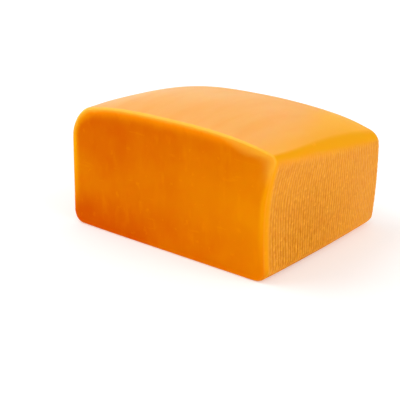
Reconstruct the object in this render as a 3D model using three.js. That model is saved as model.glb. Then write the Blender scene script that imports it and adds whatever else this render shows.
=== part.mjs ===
// A block of semi-hard orange cheese, cut once, in millimetres with +Z up.
// The cut face looks along -Y and the block stands on its flat base. The other three
// walls and the crowned top still have the shape that the mould gave them.
import * as THREE from 'three';
import { mergeVertices } from 'three/addons/utils/BufferGeometryUtils.js';

// Overall size
const WIDTH = 100;             // from side wall to side wall, along X
const DEPTH = 86;              // from the cut face to the rear wall, along Y
const SIDE_HEIGHT = 45;        // of the walls, below the crown of the top
const CROWN = 12.3;            // how far the middle of the top rises over the walls
const CROWN_FADE_FRONT = 0.56; // share of the crown that is gone at the cut
const CROWN_FADE_REAR = 0.60;  // share of the crown that is gone at the rear
const CROWN_POWER = 3;         // flatness of the crown across the width
const REAR_DROP = 4.4;         // how much the top leans down to the rear from the middle

// Roundings
const TOP_LEFT_RADIUS = 10.5;  // along the top's left edge
const TOP_RIGHT_RADIUS = 4.2;  // along the top's right edge, away from the cut
const TOP_RIGHT_AT_CUT = 2.4;  // the same edge, where the knife sharpened it
const BASE_RADIUS = 5;         // along both edges of the base
const REAR_RADIUS = 6;         // where the mould rounded the rear end
const CUT_RADIUS_LEVEL = 0.9;  // the cut's crisp edge with the top and the base
const CUT_RADIUS_LEFT = 2.8;   // the cut's softer edge with the left wall
const CUT_RADIUS_RIGHT = 1.7;  // the cut's softer edge with the right wall, below its top

// The gentle warps of a soft block
const PLAN_BOW = 1.0;          // how far both side walls bow out halfway along the depth
const RIGHT_WAIST = 1.5;       // how far the right wall draws in at half height, near the cut
const RIGHT_LIP = 1.4;         // how far the right wall's top leans out, near the cut
const RIGHT_BELLY = 0.8;       // how far the right wall swells out at half height, at the rear
const LEFT_BELLY = 0.8;        // how far the left wall swells out at half height
const CORNER_DRAG = 1.0;       // how far the knife dragged the top right corner back

// Mesh stations along each axis, and the shares of the depth's stations in its two roundings
const STATIONS_X = 26;
const STATIONS_Y = 24;
const STATIONS_Z = 14;
const CROWDING = 0.3;
const FRONT_SHARE = 0.08;
const REAR_SHARE = 0.22;

const { clamp, lerp, smoothstep } = THREE.MathUtils;

// Moves evenly spaced stations from -1 to 1 closer together near both ends.
function crowd(station) {
  return station + CROWDING * (station - station ** 3);
}

// One station along the depth: its Y, and how far the outline there draws in all round.
function stationAlongDepth(v, cutRadius) {
  const share = (v + 1) / 2;
  const frontTurn = clamp(1 - share / FRONT_SHARE, 0, 1) * Math.PI / 2;
  const rearTurn = clamp(1 - (1 - share) / REAR_SHARE, 0, 1) * Math.PI / 2;
  const straight = clamp((share - FRONT_SHARE) / (1 - FRONT_SHARE - REAR_SHARE), 0, 1);
  const y = lerp(-DEPTH / 2 + cutRadius, DEPTH / 2 - REAR_RADIUS, straight)
    - cutRadius * Math.sin(frontTurn)
    + REAR_RADIUS * Math.sin(rearTurn);
  const inset = cutRadius * (1 - Math.cos(frontTurn)) + REAR_RADIUS * (1 - Math.cos(rearTurn));
  return { y, inset };
}

// A point of the upright outline, a rectangle with rounded corners drawn in by the inset.
// u and w run from -1 to 1, and the larger of the two says how far out the point lies.
function pointOnOutline(u, v, w, inset) {
  const reach = Math.max(Math.abs(u), Math.abs(w), 1e-9);
  const halfWidth = WIDTH / 2 - inset;
  const halfHeight = SIDE_HEIGHT / 2 - inset;
  const topRightRadius = lerp(TOP_RIGHT_AT_CUT, TOP_RIGHT_RADIUS, smoothstep(v, -0.9, 0.2));
  const topRadius = u > 0 ? topRightRadius : TOP_LEFT_RADIUS;
  const fullRadius = w > 0 ? topRadius : BASE_RADIUS;
  const radius = Math.max(fullRadius - inset, 0.35 * fullRadius);
  const x = u / reach * halfWidth;
  const z = w / reach * halfHeight;
  const centreX = clamp(x, radius - halfWidth, halfWidth - radius);
  const centreZ = clamp(z, radius - halfHeight, halfHeight - radius);
  const distance = Math.max(Math.hypot(x - centreX, z - centreZ), 1e-9);
  return {
    x: reach * (centreX + radius * (x - centreX) / distance),
    z: reach * (centreZ + radius * (z - centreZ) / distance) + SIDE_HEIGHT / 2,
  };
}

// Bends the straight block: bowed and waisted walls, a crowned top that leans to the rear,
// and the lip and dragged corner beside the cut.
function warp({ x, y, z }) {
  const side = x / (WIDTH / 2);
  const along = y / (DEPTH / 2);
  const level = z / SIDE_HEIGHT;
  const bow = PLAN_BOW * (1 - along ** 2);
  const middle = 4 * level * (1 - level);
  const nearCut = 1 - smoothstep(along, -0.9, 0.6);
  const lipOrWaist = RIGHT_LIP * smoothstep(level, 0.6, 1) - RIGHT_WAIST * middle;
  const right = lerp(RIGHT_BELLY * middle, lipOrWaist, nearCut);
  const swell = bow + (side > 0 ? right : LEFT_BELLY * middle);
  const across = 1 - Math.min(Math.abs(side), 1) ** CROWN_POWER;
  const fade = along < 0 ? CROWN_FADE_FRONT : CROWN_FADE_REAR;
  const crown = CROWN * across * (1 - fade * along ** 2);
  const corner = smoothstep(side, 0.5, 1) * smoothstep(level, 0.45, 1) * (1 - smoothstep(along, -1, 0.2));
  return [
    x + swell * side,
    y + CORNER_DRAG * corner,
    z + crown * level ** 2 - REAR_DROP * along * level,
  ];
}

// The point of the block's skin that belongs to one point of a cube from -1 to 1.
function pointOnBlock(u, v, w) {
  const reach = Math.max(Math.abs(u), Math.abs(w), 1e-9);
  const onLeft = smoothstep((Math.abs(u) - Math.abs(w)) / reach, -0.5, 0.7);
  const belowTop = 1 - smoothstep(w / reach, 0.2, 1);
  const onRight = smoothstep(Math.abs(u) / reach, 0.85, 1) * belowTop;
  const cutRadius = u < 0
    ? lerp(CUT_RADIUS_LEVEL, CUT_RADIUS_LEFT, onLeft)
    : lerp(CUT_RADIUS_LEVEL, CUT_RADIUS_RIGHT, onRight);
  const { y, inset } = stationAlongDepth(v, cutRadius);
  const { x, z } = pointOnOutline(u, v, w, inset);
  return warp({ x, y, z });
}

// A finely divided cube whose every point is moved to the block's skin, then set with the
// middle of its base on the origin.
function cheeseBlockGeometry() {
  const cube = new THREE.BoxGeometry(2, 2, 2, STATIONS_X, STATIONS_Y, STATIONS_Z);
  cube.deleteAttribute('normal');
  cube.deleteAttribute('uv');
  const geometry = mergeVertices(cube);
  const points = geometry.getAttribute('position');
  for (let i = 0; i < points.count; i += 1) {
    const u = crowd(points.getX(i));
    const v = crowd(points.getY(i));
    const w = crowd(points.getZ(i));
    points.setXYZ(i, ...pointOnBlock(u, v, w));
  }
  geometry.computeBoundingBox();
  const { min, max } = geometry.boundingBox;
  geometry.translate(-(min.x + max.x) / 2, -(min.y + max.y) / 2, -min.z);
  geometry.computeVertexNormals();
  return geometry;
}

const cheese = new THREE.MeshStandardMaterial({ color: 0xef9a35, roughness: 0.45, metalness: 0 });
const cheeseBlock = new THREE.Mesh(cheeseBlockGeometry(), cheese);
cheeseBlock.name = 'cheese_block';

const model = new THREE.Group();
model.add(cheeseBlock);

export default model;
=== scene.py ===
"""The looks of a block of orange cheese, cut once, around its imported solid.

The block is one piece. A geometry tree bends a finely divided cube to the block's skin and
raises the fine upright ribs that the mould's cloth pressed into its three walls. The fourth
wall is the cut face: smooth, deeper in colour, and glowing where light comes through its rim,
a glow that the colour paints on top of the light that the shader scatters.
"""

import math

import bpy
from mathutils import Matrix, Vector


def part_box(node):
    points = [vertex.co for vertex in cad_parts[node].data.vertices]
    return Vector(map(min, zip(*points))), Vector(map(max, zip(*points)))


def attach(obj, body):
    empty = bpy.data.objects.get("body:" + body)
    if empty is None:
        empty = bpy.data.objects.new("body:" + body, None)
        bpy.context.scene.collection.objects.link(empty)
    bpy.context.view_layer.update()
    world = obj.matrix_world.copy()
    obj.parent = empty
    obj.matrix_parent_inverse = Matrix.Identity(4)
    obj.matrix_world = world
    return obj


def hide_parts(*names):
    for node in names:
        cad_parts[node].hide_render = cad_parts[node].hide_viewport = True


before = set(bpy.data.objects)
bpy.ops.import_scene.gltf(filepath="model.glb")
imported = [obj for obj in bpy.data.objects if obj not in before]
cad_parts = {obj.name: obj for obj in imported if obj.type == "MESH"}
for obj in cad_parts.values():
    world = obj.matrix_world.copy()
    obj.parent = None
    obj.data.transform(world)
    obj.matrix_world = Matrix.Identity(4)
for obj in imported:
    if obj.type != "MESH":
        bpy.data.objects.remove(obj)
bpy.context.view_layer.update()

MM = 0.001

# ---------------------------------------------------------------- the block's sizes, in metres

BOX_LOW, BOX_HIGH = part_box("cheese_block")
BOX_SIZE = BOX_HIGH - BOX_LOW
BOX_MIDDLE = (BOX_LOW + BOX_HIGH) / 2

SIZES = {
    "Width": 100 * MM,
    "Depth": BOX_SIZE.y,
    "Side Height": 45 * MM,
    "Crown": 12.3 * MM,
    "Crown Fade Front": 0.56,
    "Crown Fade Rear": 0.60,
    "Rear Drop": 4.4 * MM,
    "Top Left Radius": 10.5 * MM,
    "Top Right Radius": 4.2 * MM,
    "Top Right At Cut": 2.4 * MM,
    "Base Radius": 5 * MM,
    "Rear Radius": 6 * MM,
    "Cut Radius Level": 0.9 * MM,
    "Cut Radius Left": 2.8 * MM,
    "Cut Radius Right": 1.7 * MM,
    "Plan Bow": 1.0 * MM,
    "Right Waist": 1.5 * MM,
    "Right Lip": 1.4 * MM,
    "Right Belly": 0.8 * MM,
    "Left Belly": 0.8 * MM,
    "Corner Drag": 1.0 * MM,
    "Front Share": 0.042,
    "Rear Share": 0.104,
    "Rib Pitch": 1.62 * MM,
    "Rib Height": 0.28 * MM,
    "Bead Length": 1.5 * MM,
    "Seed": 4.0,
}
COUNTS = {
    "Points Across": 320,
    "Points Along": 290,
    "Points Up": 76,
}
CROWN_POWER = 3
SMALLEST_RADIUS_SHARE = 0.35
MOST_TRIANGLES = 190_000
TINY = 1e-9

# How far the cut face's rings lie apart on its two sides, as shares of half the width
LEFT_RING_SHARE = 1.2
RIGHT_RING_SHARE = 1.8

# The ribs: how far they wander sideways (in ribs), how unevenly they start below the top (in
# millimetres), and where they fade in around that start and beside the cut
RIB_WANDER = 1.2
RIB_START_SPREAD = 2.5
RIBS_ABOVE_START = 1.8 * MM
RIBS_BELOW_START = 4.0 * MM
RIBS_BEGIN_AT_CUT = 1.4 * MM
RIBS_FULL_AT_CUT = 3.6 * MM
WEAKEST_RIB = 0.7
RIB_VARIETY = 0.3
WAVE_BETWEEN_BEADS = 0.4
WAVE_ON_BEADS = 0.6
BEAD_ROWS_APART = 3.17

# The slight unevenness of the whole skin, in millimetres
SWELL_HEIGHT = 0.5
RIPPLE_HEIGHT = 0.09

# ---------------------------------------------------------------- wires and nodes


class Wire:
    """A node's output that Python's operators join to numbers and other wires."""

    def __init__(self, bench, socket):
        self.bench = bench
        self.socket = socket

    def out(self, name):
        """Another output of the same node."""
        return Wire(self.bench, self.socket.node.outputs[name])

    def __add__(self, other):
        return self.bench.calculate("ADD", self, other)

    def __radd__(self, other):
        return self.bench.calculate("ADD", other, self)

    def __sub__(self, other):
        return self.bench.calculate("SUBTRACT", self, other)

    def __rsub__(self, other):
        return self.bench.calculate("SUBTRACT", other, self)

    def __mul__(self, other):
        return self.bench.calculate("MULTIPLY", self, other)

    def __rmul__(self, other):
        return self.bench.calculate("MULTIPLY", other, self)

    def __truediv__(self, other):
        return self.bench.calculate("DIVIDE", self, other)

    def __rtruediv__(self, other):
        return self.bench.calculate("DIVIDE", other, self)

    def __pow__(self, other):
        return self.bench.calculate("POWER", self, other)

    def __gt__(self, other):
        return self.bench.calculate("GREATER_THAN", self, other)

    def __neg__(self):
        return self.bench.calculate("MULTIPLY", self, -1.0)

    def __abs__(self):
        return self.bench.calculate("ABSOLUTE", self)


class Bench:
    """A node tree that is being built."""

    def __init__(self, tree):
        self.tree = tree

    def node(self, kind, settings=None, sockets=None, output=0):
        """Adds a node: its settings first, then the values or links of its sockets."""
        made = self.tree.nodes.new(kind)
        for name, value in (settings or {}).items():
            setattr(made, name, value)
        for name, value in (sockets or {}).items():
            if isinstance(value, Wire):
                self.tree.links.new(value.socket, made.inputs[name])
            else:
                made.inputs[name].default_value = value
        return Wire(self, made.outputs[output]) if made.outputs else None

    # Values
    def calculate(self, operation, first, second=0.0):
        return self.node("ShaderNodeMath", {"operation": operation}, {0: first, 1: second})

    def maximum(self, first, second):
        return self.calculate("MAXIMUM", first, second)

    def minimum(self, first, second):
        return self.calculate("MINIMUM", first, second)

    def sine(self, angle):
        return self.calculate("SINE", angle)

    def cosine(self, angle):
        return self.calculate("COSINE", angle)

    def nearest_whole(self, value):
        return self.calculate("ROUND", value)

    def clamp(self, value, low=0.0, high=1.0):
        return self.maximum(self.minimum(value, high), low)

    def ease(self, value, low, high):
        """A smooth step from 0 at low to 1 at high. It falls instead if low is above high."""
        return self.node(
            "ShaderNodeMapRange",
            {"interpolation_type": "SMOOTHSTEP"},
            {"Value": value, "From Min": low, "From Max": high},
        )

    def between(self, share, first, second):
        """The first value at a share of 0, the second at 1, and a straight line between."""
        return first + share * (second - first)

    # Vectors
    def vector(self, x=0.0, y=0.0, z=0.0):
        return self.node("ShaderNodeCombineXYZ", None, {0: x, 1: y, 2: z})

    def parts(self, vector):
        split = self.node("ShaderNodeSeparateXYZ", None, {0: vector})
        return split, split.out(1), split.out(2)

    def stretched(self, place, factors):
        """The place with its parts multiplied. A factor below 1 draws noise out that way."""
        return self.node(
            "ShaderNodeVectorMath", {"operation": "MULTIPLY"}, {0: place, 1: factors}
        )

    def scale(self, vector, factor):
        return self.node(
            "ShaderNodeVectorMath", {"operation": "SCALE"}, {0: vector, "Scale": factor}
        )

    def noise(self, place, wave, detail=2.0, distortion=0.0, seed=0.0):
        """Noise from 0 to 1 with its middle at 0.5, whose coarsest waves have this length."""
        return self.node(
            "ShaderNodeTexNoise",
            {"noise_dimensions": "4D"},
            {
                "Vector": place,
                "W": seed,
                "Scale": 1 / wave,
                "Detail": detail,
                "Roughness": 0.5,
                "Distortion": distortion,
            },
        )

    # Colours
    def mix(self, share, first, second):
        return self.node(
            "ShaderNodeMix", {"data_type": "RGBA"}, {0: share, 6: first, 7: second}, output=2
        )


# ---------------------------------------------------------------- the block's shape


def station_along_depth(bench, size, v, cut_radius):
    """The depth of one station, how far the outline there draws in all round, and how near
    the station is to the middle of the cut's rounded rim."""
    share = (v + 1) / 2
    quarter = math.pi / 2
    front_turn = bench.clamp(1 - share / size["Front Share"]) * quarter
    rear_turn = bench.clamp(1 - (1 - share) / size["Rear Share"]) * quarter
    run = 1 - size["Front Share"] - size["Rear Share"]
    straight = bench.clamp((share - size["Front Share"]) / run)
    front = cut_radius - size["Depth"] / 2
    rear = size["Depth"] / 2 - size["Rear Radius"]
    y = (
        bench.between(straight, front, rear)
        - cut_radius * bench.sine(front_turn)
        + size["Rear Radius"] * bench.sine(rear_turn)
    )
    inset = cut_radius * (1 - bench.cosine(front_turn)) + size["Rear Radius"] * (
        1 - bench.cosine(rear_turn)
    )
    return y, inset, bench.sine(2 * front_turn)


def point_on_outline(bench, size, u, v, w, reach, inset):
    """A point of the upright outline: a rectangle with rounded corners, drawn in by the inset."""
    half_width = size["Width"] / 2 - inset
    half_height = size["Side Height"] / 2 - inset
    top_right_radius = bench.between(
        bench.ease(v, -0.9, 0.2), size["Top Right At Cut"], size["Top Right Radius"]
    )
    top_radius = bench.between(u > 0.0, size["Top Left Radius"], top_right_radius)
    full_radius = bench.between(w > 0.0, size["Base Radius"], top_radius)
    radius = bench.maximum(full_radius - inset, full_radius * SMALLEST_RADIUS_SHARE)
    x = u / reach * half_width
    z = w / reach * half_height
    centre_x = bench.clamp(x, radius - half_width, half_width - radius)
    centre_z = bench.clamp(z, radius - half_height, half_height - radius)
    off_x = x - centre_x
    off_z = z - centre_z
    distance = bench.maximum((off_x * off_x + off_z * off_z) ** 0.5, TINY)
    return (
        reach * (centre_x + radius * off_x / distance),
        reach * (centre_z + radius * off_z / distance) + size["Side Height"] / 2,
    )


def warp(bench, size, x, y, z):
    """Bows and waists the walls, crowns the top, and drags the corner beside the cut."""
    side = x / (size["Width"] / 2)
    along = y / (size["Depth"] / 2)
    level = z / size["Side Height"]
    bow = size["Plan Bow"] * (1 - along * along)
    middle = 4 * level * (1 - level)
    near_cut = 1 - bench.ease(along, -0.9, 0.6)
    lip = size["Right Lip"] * bench.ease(level, 0.6, 1.0)
    right_at_cut = lip - size["Right Waist"] * middle
    right = bench.between(near_cut, size["Right Belly"] * middle, right_at_cut)
    left = size["Left Belly"] * middle
    swell = bow + bench.between(side > 0.0, left, right)
    across = 1 - bench.minimum(abs(side), 1.0) ** CROWN_POWER
    fade = bench.between(along > 0.0, size["Crown Fade Front"], size["Crown Fade Rear"])
    crown = size["Crown"] * across * (1 - fade * along * along)
    corner = (
        bench.ease(side, 0.5, 1.0)
        * bench.ease(level, 0.45, 1.0)
        * (1 - bench.ease(along, -1.0, 0.2))
    )
    return bench.vector(
        x + swell * side,
        y + size["Corner Drag"] * corner,
        z + crown * level * level - size["Rear Drop"] * along * level,
    )


def named(bench, mesh, name, value):
    """Keeps a value on the mesh's points under a name that the material can read."""
    return bench.node(
        "GeometryNodeStoreNamedAttribute",
        {"data_type": "FLOAT", "domain": "POINT"},
        {"Geometry": mesh, "Name": name, "Value": value},
    )


def read(bench, name):
    """A value that was kept on the mesh's points."""
    return bench.node("GeometryNodeInputNamedAttribute", {"data_type": "FLOAT"}, {"Name": name})


def moved(bench, mesh, **place):
    """Moves the mesh's points to a place or by an offset."""
    sockets = {name.title(): value for name, value in place.items()}
    return bench.node("GeometryNodeSetPosition", None, {"Geometry": mesh, **sockets})


def bend_cube_to_block(bench, size):
    """The smooth skin. Its points keep how far they lie below the top's edge, how deep inside
    the cut's rim, how far along the walls, and how near the middle of the rim's rounding."""
    mesh = bench.node(
        "GeometryNodeMeshCube",
        None,
        {
            "Size": (2.0, 2.0, 2.0),
            "Vertices X": size["Points Across"],
            "Vertices Y": size["Points Along"],
            "Vertices Z": size["Points Up"],
        },
    )
    u, v, w = bench.parts(bench.node("GeometryNodeInputPosition"))
    reach = bench.maximum(bench.maximum(abs(u), abs(w)), TINY)
    on_left = bench.ease((abs(u) - abs(w)) / reach, -0.5, 0.7)
    on_right = bench.ease(abs(u) / reach, 0.85, 1.0) * (1 - bench.ease(w / reach, 0.2, 1.0))
    level_radius = size["Cut Radius Level"]
    cut_radius = bench.between(
        u > 0.0,
        bench.between(on_left, level_radius, size["Cut Radius Left"]),
        bench.between(on_right, level_radius, size["Cut Radius Right"]),
    )
    y, inset, rim = station_along_depth(bench, size, v, cut_radius)
    x, z = point_on_outline(bench, size, u, v, w, reach, inset)
    below_top = (1 - w) * size["Side Height"] / 2
    half_width = size["Width"] / 2
    side_reach = bench.between(u > 0.0, LEFT_RING_SHARE * half_width, RIGHT_RING_SHARE * half_width)
    sideways = bench.ease(abs(u) - abs(w), -0.15, 0.15)
    rim_reach = bench.between(sideways, size["Side Height"] / 2, side_reach)
    mesh = named(bench, mesh, "below_top", below_top)
    mesh = named(bench, mesh, "rim_depth", (1 - reach) * rim_reach)
    mesh = named(bench, mesh, "around_walls", y - abs(x))
    mesh = named(bench, mesh, "rim", rim)
    return moved(bench, mesh, position=warp(bench, size, x, y, z))


def rib_height(bench, phase, beads_up, seed):
    """How far the ribs stand up, from 0 to 1: one wave for each whole step of the phase,
    broken into short beads along its height."""
    wave = 0.5 + 0.5 * bench.cosine(phase * math.tau)
    bead_place = bench.vector(bench.nearest_whole(phase) * BEAD_ROWS_APART, beads_up)
    bead = bench.ease(bench.noise(bead_place, 1.0, 1.0, seed=seed + 2.0), 0.32, 0.60)
    return wave * (WAVE_BETWEEN_BEADS + WAVE_ON_BEADS * bead)


def raise_ribs(bench, size, mesh):
    """Irregular upright ribs on the moulded walls, and slight waves all over the skin. The
    points keep the ribs' phase and strength, and which part of the skin they belong to."""
    place = bench.node("GeometryNodeInputPosition")
    _, y, z = bench.parts(place)
    normal = bench.node("GeometryNodeInputNormal")
    normal_x, normal_y, normal_z = bench.parts(normal)
    front = -size["Depth"] / 2
    seed = size["Seed"]

    cut_face = bench.ease(-normal_y, 0.60, 0.90) * (
        1 - bench.ease(y, front + 3 * MM, front + 6 * MM)
    )
    skin = 1 - cut_face
    upright = 1 - bench.ease(abs(normal_z), 0.20, 0.65)
    start = bench.noise(place, 9 * MM, 1.0, seed=seed + 1.0) * RIB_START_SPREAD * MM
    walls = (
        upright
        * skin
        * bench.ease(y, front + RIBS_BEGIN_AT_CUT, front + RIBS_FULL_AT_CUT)
        * bench.ease(read(bench, "below_top"), start - RIBS_ABOVE_START, start + RIBS_BELOW_START)
    )

    drawn_up = bench.stretched(place, (1.0, 1.0, 0.3))
    wander = bench.noise(drawn_up, 5 * MM, seed=seed)
    phase = read(bench, "around_walls") / size["Rib Pitch"] + (wander - 0.5) * RIB_WANDER
    patches = bench.ease(bench.noise(place, 22 * MM, 1.0, seed=seed + 3.0), 0.3, 0.65)
    strength = (WEAKEST_RIB + RIB_VARIETY * patches) * walls
    rib = rib_height(bench, phase, z / size["Bead Length"], seed) * strength

    swell = bench.noise(place, 26 * MM, 1.0, seed=seed + 4.0) - 0.5
    ripple = bench.noise(place, 7 * MM, 1.0, seed=seed + 5.0) - 0.5
    above_base = bench.ease(z, 0.0, 2 * MM)
    waves = (swell * SWELL_HEIGHT * MM + ripple * RIPPLE_HEIGHT * MM) * above_base
    lift = rib * size["Rib Height"] + waves
    lean = bench.maximum(abs(normal_x), normal_y - 0.15)
    mesh = named(bench, mesh, "rib_phase", phase)
    mesh = named(bench, mesh, "rib_strength", strength)
    mesh = named(bench, mesh, "skin", skin)
    mesh = named(bench, mesh, "walls", walls)
    mesh = named(bench, mesh, "edge", bench.ease(lean, 0.26, 0.60))
    mesh = named(bench, mesh, "shoulder", bench.ease(lean, 0.36, 0.76) * skin * (1 - walls))
    return moved(bench, mesh, offset=bench.scale(normal, lift))


def block_tree():
    """The geometry tree, and the identifier of each of its named inputs."""
    tree = bpy.data.node_groups.new("cheese_block_shape", "GeometryNodeTree")
    kinds = {
        **{name: "NodeSocketFloat" for name in SIZES},
        **{name: "NodeSocketInt" for name in COUNTS},
        "Finish": "NodeSocketMaterial",
    }
    identifiers = {}
    for name, kind in kinds.items():
        socket = tree.interface.new_socket(name=name, in_out="INPUT", socket_type=kind)
        identifiers[name] = socket.identifier
    tree.interface.new_socket(name="Block", in_out="OUTPUT", socket_type="NodeSocketGeometry")

    bench = Bench(tree)
    inputs = bench.node("NodeGroupInput")
    size = {name: inputs.out(name) for name in identifiers}
    mesh = bend_cube_to_block(bench, size)
    mesh = raise_ribs(bench, size, mesh)
    mesh = bench.node("GeometryNodeSetShadeSmooth", None, {"Geometry": mesh})
    mesh = bench.node("GeometryNodeRealizeInstances", None, {"Geometry": mesh})
    mesh = bench.node(
        "GeometryNodeSetMaterial", None, {"Geometry": mesh, "Material": size["Finish"]}
    )
    bench.node("NodeGroupOutput", None, {0: mesh})
    return tree, identifiers


def settle_in_box(mesh):
    """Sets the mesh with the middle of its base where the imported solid's is."""
    places = [vertex.co for vertex in mesh.vertices]
    low = Vector(min(place[axis] for place in places) for axis in range(3))
    high = Vector(max(place[axis] for place in places) for axis in range(3))
    shift = BOX_MIDDLE - (low + high) / 2
    shift.z = BOX_LOW.z - low.z
    mesh.transform(Matrix.Translation(shift))


def make_block(finish):
    """The block as one plain mesh, thinned where it is smooth."""
    tree, identifiers = block_tree()
    blank = bpy.data.objects.new("block_blank", bpy.data.meshes.new("block_blank"))
    bpy.context.scene.collection.objects.link(blank)
    shape = blank.modifiers.new("shape", "NODES")
    shape.node_group = tree
    for name, value in {**SIZES, **COUNTS, "Finish": finish}.items():
        shape[identifiers[name]] = value
    across, along, up = COUNTS.values()
    squares = 2 * (across * along + across * up + along * up)
    thin = blank.modifiers.new("thin", "DECIMATE")
    thin.ratio = MOST_TRIANGLES / (2 * squares)

    graph = bpy.context.evaluated_depsgraph_get()
    mesh = bpy.data.meshes.new_from_object(blank.evaluated_get(graph), depsgraph=graph)
    bpy.data.objects.remove(blank)
    settle_in_box(mesh)
    mesh.name = "cheese"
    block = bpy.data.objects.new("cheese", mesh)
    bpy.context.scene.collection.objects.link(block)
    return block


# ---------------------------------------------------------------- the cheese's finish

# The cut face, from its middle to the line along the top of its rim: its own deep and pale colours,
# the painted glow of light that comes through the rim, and the painted highlight along the rim's
# top
CUT_DEEP = (0.64, 0.095, 0.0, 1.0)
CUT_PALE = (0.80, 0.245, 0.0002, 1.0)
RIM_GLOW = (0.92, 0.275, 0.001, 1.0)
SIDE_GLOW = (0.85, 0.330, 0.001, 1.0)
SOFT_RIM_GLOW = (0.87, 0.400, 0.030, 1.0)
RIM_HIGHLIGHT_LEFT = (1.00, 0.51, 0.070, 1.0)
RIM_HIGHLIGHT_RIGHT = (1.00, 0.54, 0.065, 1.0)

# The top, its edges and the shoulders under them. The top's pale and rich colours carry a painted
# sheen besides their own colour, the rear one less of it; the warm colour takes over where that
# painted sheen gives out along the edges and towards the right
SKIN_PALE_WITH_SHEEN = (0.92, 0.382, 0.072, 1.0)
SKIN_RICH_WITH_SHEEN = (0.91, 0.340, 0.042, 1.0)
SKIN_REAR_LESS_SHEEN = (0.89, 0.315, 0.036, 1.0)
SKIN_WARM = (0.93, 0.365, 0.016, 1.0)
SHOULDER = (0.82, 0.325, 0.005, 1.0)

# The ribbed walls: the ribs' crests, paler with painted light, and the hollows between them, richer
# with painted shade, high up and low down; low down by the cut, painted shade deepens them further
WALL_PALE = (0.84, 0.370, 0.030, 1.0)
WALL_RICH = (0.68, 0.210, 0.001, 1.0)
WALL_PAINTED_SHADE = (0.55, 0.158, 0.0003, 1.0)

# What makes the cut face paler (an even share, painted light towards the right and below the top,
# and its own mottle, specks, smears and scratches), and how much more painted shade deepens it
# towards the base
PALE_ALL_OVER = 0.05
PAINTED_LIGHT_TO_THE_RIGHT = 0.54
PAINTED_LIGHT_AND_SHADE_BY_HEIGHT = 0.28
PALE_MOTTLE = 0.30
PALE_SPECKS = 0.18
PALE_SMEARS = 0.14
PALE_SCRATCHES = 0.14
PAINTED_SHADE_BY_THE_BASE = 1.5

# The light that comes through the rim of the cut, painted into the cut face's colour as a glow on
# top of the shader's own scattering: how deep the glow reaches, how wide the soft painted glow is
# at the left and at the right, and how strongly the soft painted glow and the painted rim highlight
# are laid on
GLOW_DEPTH = 5 * MM
SOFT_RIM_AT_LEFT = 1 * MM
SOFT_RIM_AT_RIGHT = 12 * MM
RIM_SHARE = 0.9

# The gloss of the moulded skin, and what takes away from it
COAT_ON_TOP = 0.78
COAT_LOST_ON_WALLS = 0.40
COAT_LOST_LOW_BY_CUT = 0.22
COAT_LOST_AT_REAR = 0.75
COAT_LOST_AT_EDGE = 0.2


def blank_material(name):
    material = bpy.data.materials.new(name)
    material.use_nodes = True
    material.node_tree.nodes.clear()
    return material


def attribute(bench, name):
    """A value that the geometry tree kept on the mesh's points."""
    return bench.node("ShaderNodeAttribute", {"attribute_name": name}, output="Fac")


def cut_colour(bench, place, across, strokes):
    """Deep, with faint strokes, smears and scratches and pale specks of curd. Painted light
    makes it paler to the right and below the top, painted shade deepens it low down on the
    left, and a painted glow lies where light comes through its rim."""
    x, _, z = bench.parts(place)
    cloud = bench.noise(place, 18 * MM, 3.0, seed=1.0)
    mottle = bench.ease(cloud * 0.8 + strokes * 0.2, 0.3, 0.7)
    specks = bench.ease(bench.noise(place, 2.2 * MM, 1.0, seed=3.0), 0.66, 0.76)
    drawn_up = bench.stretched(place, (1.0, 1.0, 0.35))
    smears = bench.ease(bench.noise(drawn_up, 3.5 * MM, seed=9.0), 0.56, 0.74)
    drawn_across = bench.stretched(place, (0.3, 1.0, 1.5))
    scratch_noise = bench.noise(drawn_across, 3.5 * MM, 1.0, distortion=1.0, seed=10.0)
    scratches = bench.ease(scratch_noise, 0.66, 0.74)
    # Painted shade low down on the cut face, strongest at the left
    painted_shade_by_base = bench.ease(z, 22 * MM, 1 * MM) * (1.3 - across) * PAINTED_SHADE_BY_THE_BASE
    light_and_shade_by_height = bench.ease(z, 50 * MM, 22 * MM) - painted_shade_by_base
    # Painted light makes the cut face paler to the right and below the top; the rest of its
    # paleness is its own mottle, specks, smears and scratches
    paleness = (
        PALE_ALL_OVER
        + across * across * PAINTED_LIGHT_TO_THE_RIGHT
        + light_and_shade_by_height * PAINTED_LIGHT_AND_SHADE_BY_HEIGHT
        + mottle * PALE_MOTTLE
        + specks * PALE_SPECKS
        + smears * PALE_SMEARS
        + scratches * PALE_SCRATCHES
    )
    colour = bench.mix(bench.clamp(paleness), CUT_DEEP, CUT_PALE)

    # Painted glow: light that comes through the rim, painted into the colour within a few
    # millimetres of it, on top of the shader's own scattering
    rim_depth = attribute(bench, "rim_depth")
    glow = (1 - bench.ease(rim_depth, 0.0, GLOW_DEPTH)) ** 2.5 * bench.ease(z, 2 * MM, 30 * MM)
    beside = bench.ease(abs(x), 38 * MM, 47 * MM)
    colour = bench.mix(glow, colour, bench.mix(beside, RIM_GLOW, SIDE_GLOW))
    # A wider soft painted glow along the rim near the top, widest at the right
    to_right = bench.ease(x, 26 * MM, 52 * MM)
    soft_width = bench.between(to_right, SOFT_RIM_AT_LEFT, SOFT_RIM_AT_RIGHT)
    soft_rim_glow = (1 - bench.clamp(rim_depth / soft_width)) ** 2.0
    soft_rim_glow = soft_rim_glow * (1 - bench.ease(attribute(bench, "below_top"), 3 * MM, 12 * MM))
    return bench.mix(soft_rim_glow * RIM_SHARE, colour, SOFT_RIM_GLOW)


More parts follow.
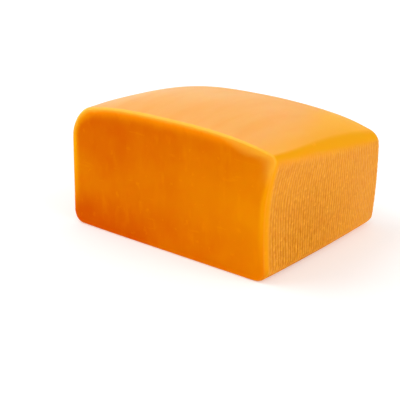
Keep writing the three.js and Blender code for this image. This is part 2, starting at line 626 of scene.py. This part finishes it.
def top_colour(bench, place, at_rear):
    """Pale, with soft streaks that run to the rear; its pale colours carry a painted sheen, less of
    it at the rear, which gives way to a warmer colour along its edges and towards its right edge.
    """
    # The top's pale and rich colours carry a painted sheen, the rear colour less of it
    streaks = bench.noise(bench.stretched(place, (1.0, 0.22, 1.0)), 8 * MM, seed=4.0)
    colour = bench.mix(bench.ease(streaks, 0.35, 0.7), SKIN_PALE_WITH_SHEEN, SKIN_RICH_WITH_SHEEN)
    colour = bench.mix(at_rear, colour, SKIN_REAR_LESS_SHEEN)
    # Along the edges and towards the right edge the painted sheen gives way to a warmer colour
    rightwards = bench.parts(place)[0] + at_rear * 14 * MM
    sheen_gone_by_right_edge = bench.ease(rightwards, 37 * MM, 50 * MM)
    return bench.mix(bench.maximum(attribute(bench, "edge"), sheen_gone_by_right_edge), colour, SKIN_WARM)


def wall_colour(bench, place, rib, painted_shade_low_by_cut):
    """Pale on the crests of the ribs and rich between them, painted light and shade of the ribs
    mixed with real grain and flecks, and deepest with painted shade low down by the cut.
    """
    grain = bench.noise(bench.stretched(place, (1.0, 1.0, 0.3)), 0.8 * MM, seed=5.0)
    flecks = bench.ease(bench.noise(place, 1.3 * MM, 1.0, seed=11.0), 0.62, 0.72)
    # Painted light on the ribs' crests and painted shade between them, mixed with real grain and
    # flecks
    rib_light_and_grain = bench.clamp(0.12 + rib * 0.64 + (grain - 0.5) * 1.3 + flecks * 0.35)
    return bench.mix(rib_light_and_grain, bench.mix(painted_shade_low_by_cut, WALL_RICH, WALL_PAINTED_SHADE), WALL_PALE)


def cheese_finish():
    """One finish for the whole block, which reads the values that its points keep."""
    material = blank_material("cheese")
    bench = Bench(material.node_tree)
    place = bench.node("ShaderNodeTexCoord", output="Object")
    x, y, z = bench.parts(place)
    skin = attribute(bench, "skin")
    walls = attribute(bench, "walls")
    shoulder = attribute(bench, "shoulder")
    # The ribs' height, which also paints light on their crests and shade between them
    rib = rib_height(
        bench, attribute(bench, "rib_phase"), z / SIZES["Bead Length"], SIZES["Seed"]
    )
    rib = rib * attribute(bench, "rib_strength")
    strokes = bench.noise(bench.stretched(place, (1.0, 1.0, 0.3)), 3 * MM, 3.0, seed=2.0)

    across = bench.clamp(x / BOX_SIZE.x + 0.5)
    at_rear = bench.ease(y, -20 * MM, 30 * MM)
    # Painted shade low on the walls, strongest near the cut; the walls' coat thins there too
    painted_shade_low_by_cut = (
        bench.ease(z, 48 * MM, 8 * MM)
        * bench.ease(y, 34 * MM, -20 * MM)
        * bench.between(bench.ease(y, -43 * MM, -22 * MM), 0.4, 1.0)
    )
    wall_share = bench.maximum(walls, 1 - bench.ease(z, 2 * MM, 7 * MM))
    top_share = 1 - wall_share

    nicks = bench.ease(bench.noise(place, 2.4 * MM, 1.0, seed=8.0), 0.66, 0.72) * shoulder
    top = bench.mix(shoulder * (1 - nicks * 0.4), top_colour(bench, place, at_rear), SHOULDER)
    moulded = bench.mix(wall_share, top, wall_colour(bench, place, rib, painted_shade_low_by_cut))
    colour = bench.mix(skin, cut_colour(bench, place, across, strokes), moulded)
    # A painted highlight along the top of the cut's rim, over the real gloss there, weaker towards
    # the right tip
    along_top = 1 - bench.ease(attribute(bench, "below_top"), 0.5 * MM, 6 * MM)
    at_tip = bench.ease(x, 38 * MM, 49 * MM)
    rim_highlight = bench.ease(attribute(bench, "rim"), 0.25, 0.85) * along_top * (1 - at_tip * 0.6)
    rim_highlight_colour = bench.mix(across, RIM_HIGHLIGHT_LEFT, RIM_HIGHLIGHT_RIGHT)
    colour = bench.mix(rim_highlight * RIM_SHARE, colour, rim_highlight_colour)

    fine = bench.noise(place, 0.7 * MM, 3.0, seed=6.0)
    soft = bench.noise(place, 5 * MM, seed=7.0)
    relief = fine * 0.35 + soft * 0.65 + strokes * (1 - skin) * 0.4
    bump = bench.node(
        "ShaderNodeBump", None, {"Strength": 0.35, "Distance": 0.25 * MM, "Height": relief}
    )
    roughness = bench.between(skin, 0.46, 0.40) + (fine - 0.5) * 0.10 + walls * 0.08

    coat = COAT_ON_TOP - wall_share * (COAT_LOST_ON_WALLS + painted_shade_low_by_cut * COAT_LOST_LOW_BY_CUT)
    coat = coat * (1 - shoulder) * (1 - at_rear * top_share * COAT_LOST_AT_REAR)
    coat = coat * (1 - attribute(bench, "edge") * top_share * COAT_LOST_AT_EDGE)

    shader = bench.node(
        "ShaderNodeBsdfPrincipled",
        {"subsurface_method": "RANDOM_WALK"},
        {
            "Base Color": colour,
            "Roughness": roughness,
            "Normal": bump,
            "Specular IOR Level": 0.004,
            "Subsurface Weight": 0.8,
            "Subsurface Radius": (1.0, 0.42, 0.08),
            "Subsurface Scale": 3.0 * MM,
            "Coat Weight": skin * coat,
            "Coat Roughness": 0.38,
            "Coat IOR": 1.42,
        },
    )
    bench.node("ShaderNodeOutputMaterial", None, {"Surface": shader})
    return material


# ---------------------------------------------------------------- floor, light and camera

FLOOR_HALF = 6.0
FLOOR_GAP = 0.05 * MM
FLOOR_GREY = (0.80, 0.80, 0.80, 1.0)
FLOOR_GLOW_NEAR = (0.66, 0.66, 0.66, 1.0)
FLOOR_GLOW_FAR = (1.0, 1.0, 1.0, 1.0)
FLOOR_GLOW_REACH = (0.2, 1.2)

ROOM_AT_HORIZON = 0.99
ROOM_OVERHEAD = 0.56
ROOM_DIMS = (0.25, 0.6)

SOFTBOX_DISTANCE = 1.1
SOFTBOX_SIZE = 0.8

CAMERA_AZIMUTH = 37.51
CAMERA_ELEVATION = 19.96
CAMERA_ROLL = 1.37
CAMERA_DISTANCE = 387.0 * MM
CAMERA_ASIDE = -11.41 * MM
CAMERA_ABOVE = -18.32 * MM
CAMERA_LENS = 81.65
SENSOR_WIDTH = 36.0


def direction_from(azimuth, elevation):
    """The direction from the block towards these angles. Azimuth 0 is in front of the cut."""
    turn, rise = math.radians(azimuth), math.radians(elevation)
    return Vector(
        (math.sin(turn) * math.cos(rise), -math.cos(turn) * math.cos(rise), math.sin(rise))
    )


def floor_finish():
    """A pale floor that glows more with its distance, so that it ends in white."""
    material = blank_material("pale_floor")
    bench = Bench(material.node_tree)
    x, y, _ = bench.parts(bench.node("ShaderNodeTexCoord", output="Object"))
    distance = (x * x + y * y) ** 0.5
    glow = bench.mix(bench.ease(distance, *FLOOR_GLOW_REACH), FLOOR_GLOW_NEAR, FLOOR_GLOW_FAR)
    shader = bench.node(
        "ShaderNodeBsdfPrincipled",
        None,
        {
            "Base Color": FLOOR_GREY,
            "Roughness": 0.7,
            "Specular IOR Level": 0.2,
            "Emission Color": glow,
            "Emission Strength": 0.45,
        },
    )
    bench.node("ShaderNodeOutputMaterial", None, {"Surface": shader})
    return material


def make_floor():
    mesh = bpy.data.meshes.new("floor")
    half = FLOOR_HALF
    corners = [(-half, -half, 0), (half, -half, 0), (half, half, 0), (-half, half, 0)]
    mesh.from_pydata(corners, [], [(0, 1, 2, 3)])
    mesh.materials.append(floor_finish())
    floor = bpy.data.objects.new("floor", mesh)
    floor.location.z = BOX_LOW.z - FLOOR_GAP
    bpy.context.scene.collection.objects.link(floor)


def make_surroundings():
    """A white room that is brightest at the horizon."""
    world = bpy.data.worlds.new("white_room")
    world.use_nodes = True
    world.node_tree.nodes.clear()
    bench = Bench(world.node_tree)
    rise = bench.parts(bench.node("ShaderNodeTexCoord", output="Generated"))[2]
    strength = bench.between(bench.ease(rise, *ROOM_DIMS), ROOM_AT_HORIZON, ROOM_OVERHEAD)
    shader = bench.node(
        "ShaderNodeBackground", None, {"Color": (1.0, 1.0, 1.0, 1.0), "Strength": strength}
    )
    bench.node("ShaderNodeOutputWorld", None, {"Surface": shader})
    bpy.context.scene.world = world


def make_softbox(name, azimuth, elevation, power):
    """A square soft light that faces the block."""
    away = direction_from(azimuth, elevation)
    data = bpy.data.lights.new(name, "AREA")
    data.size = SOFTBOX_SIZE
    data.energy = power
    light = bpy.data.objects.new(name, data)
    light.location = BOX_MIDDLE + away * SOFTBOX_DISTANCE
    light.rotation_euler = away.to_track_quat("Z", "Y").to_euler()
    bpy.context.scene.collection.objects.link(light)


def make_camera():
    """A camera whose axis passes a little beside the middle of the block."""
    turn = math.radians(CAMERA_AZIMUTH)
    back = direction_from(CAMERA_AZIMUTH, CAMERA_ELEVATION)
    right = Vector((math.cos(turn), math.sin(turn), 0.0))
    up = back.cross(right)
    place = BOX_MIDDLE + right * CAMERA_ASIDE + up * CAMERA_ABOVE + back * CAMERA_DISTANCE
    axes = Matrix((right, up, back)).transposed().to_4x4()
    roll = Matrix.Rotation(math.radians(CAMERA_ROLL), 4, "Z")
    data = bpy.data.cameras.new("camera")
    data.lens = CAMERA_LENS
    data.sensor_width = SENSOR_WIDTH
    data.clip_start = 0.01
    camera = bpy.data.objects.new("camera", data)
    camera.matrix_world = Matrix.Translation(place) @ axes @ roll
    bpy.context.scene.collection.objects.link(camera)
    bpy.context.scene.camera = camera


# ---------------------------------------------------------------- putting it together

make_camera()
make_surroundings()
make_softbox("upper_left_softbox", azimuth=-65, elevation=52, power=5)
make_softbox("right_softbox", azimuth=92, elevation=38, power=3.4)
make_floor()

block = make_block(cheese_finish())
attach(block, "root")
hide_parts("cheese_block")

scene = bpy.context.scene
scene.view_settings.view_transform = "Standard"
